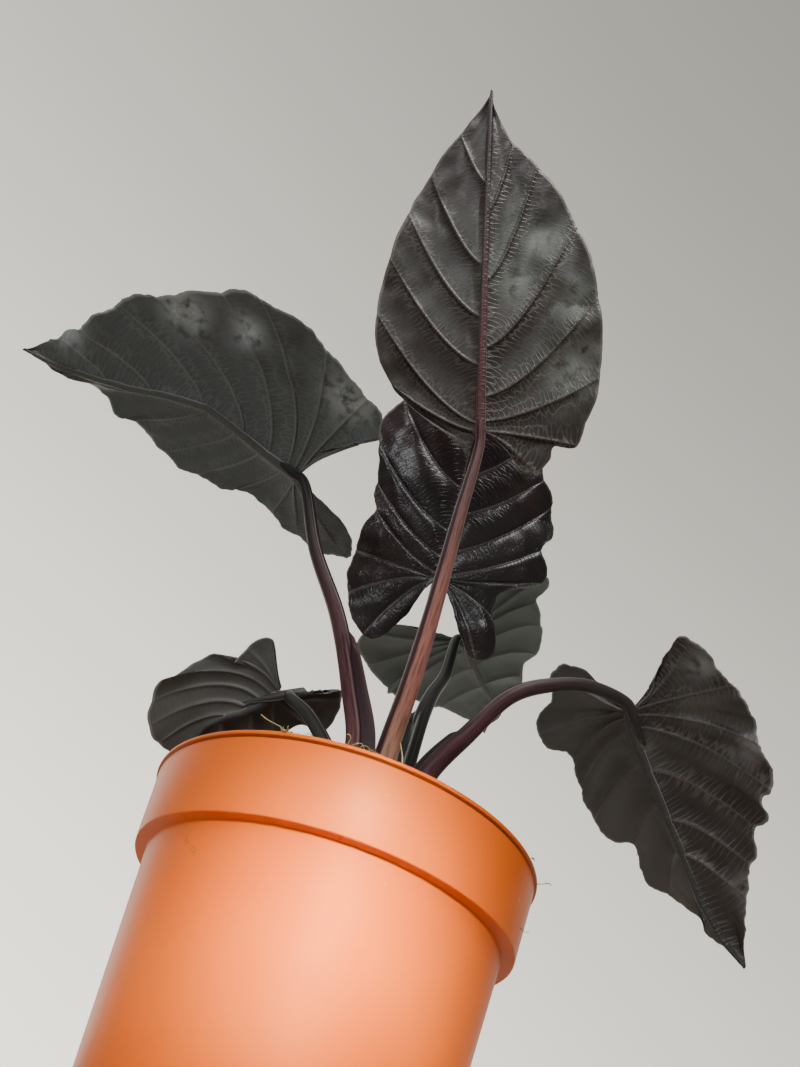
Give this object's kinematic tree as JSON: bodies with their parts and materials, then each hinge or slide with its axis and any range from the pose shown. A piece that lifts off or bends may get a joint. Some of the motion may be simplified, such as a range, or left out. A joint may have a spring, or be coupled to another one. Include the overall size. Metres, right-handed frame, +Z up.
{
  "type": "potted velvet alocasia",
  "caption": "Dark-leaved velvet alocasia house plant with arrow-shaped leaves on arching stalks, growing in a filled round plastic nursery pot that stands on its flat underside.",
  "frame": {"origin": "centre of the pot's flat underside, where it stands", "axes": "+Z up along the pot's axis, -Y towards the side that the tall leaf leans to, +X to the right of that side"},
  "size_m": [0.3362, 0.297, 0.3795],
  "materials": {
    "pot_plastic": "satin orange terracotta-coloured plastic with a soft sheen",
    "potting_soil": "rough, dark, damp potting mix of peat and bark",
    "rhizome_tissue": "rough brown skin with rings of leaf scars",
    "leaf_blade": "near-black leaf, glossy and quilted above, matte charcoal with a silvery sheen below",
    "leaf_stalk": "smooth satin dark purple-brown stalk"
  },
  "bodies": {
    "root": {"pot": "pot_plastic", "soil": "potting_soil", "rhizome": "rhizome_tissue", "leaf_1_blade": "leaf_blade", "leaf_1_stalk": "leaf_stalk", "leaf_2_blade": "leaf_blade", "leaf_2_stalk": "leaf_stalk", "leaf_3_blade": "leaf_blade", "leaf_3_stalk": "leaf_stalk", "leaf_4_blade": "leaf_blade", "leaf_4_stalk": "leaf_stalk", "leaf_5_blade": "leaf_blade", "leaf_5_stalk": "leaf_stalk", "leaf_6_blade": "leaf_blade", "leaf_6_stalk": "leaf_stalk"}
  },
  "joints": []
}
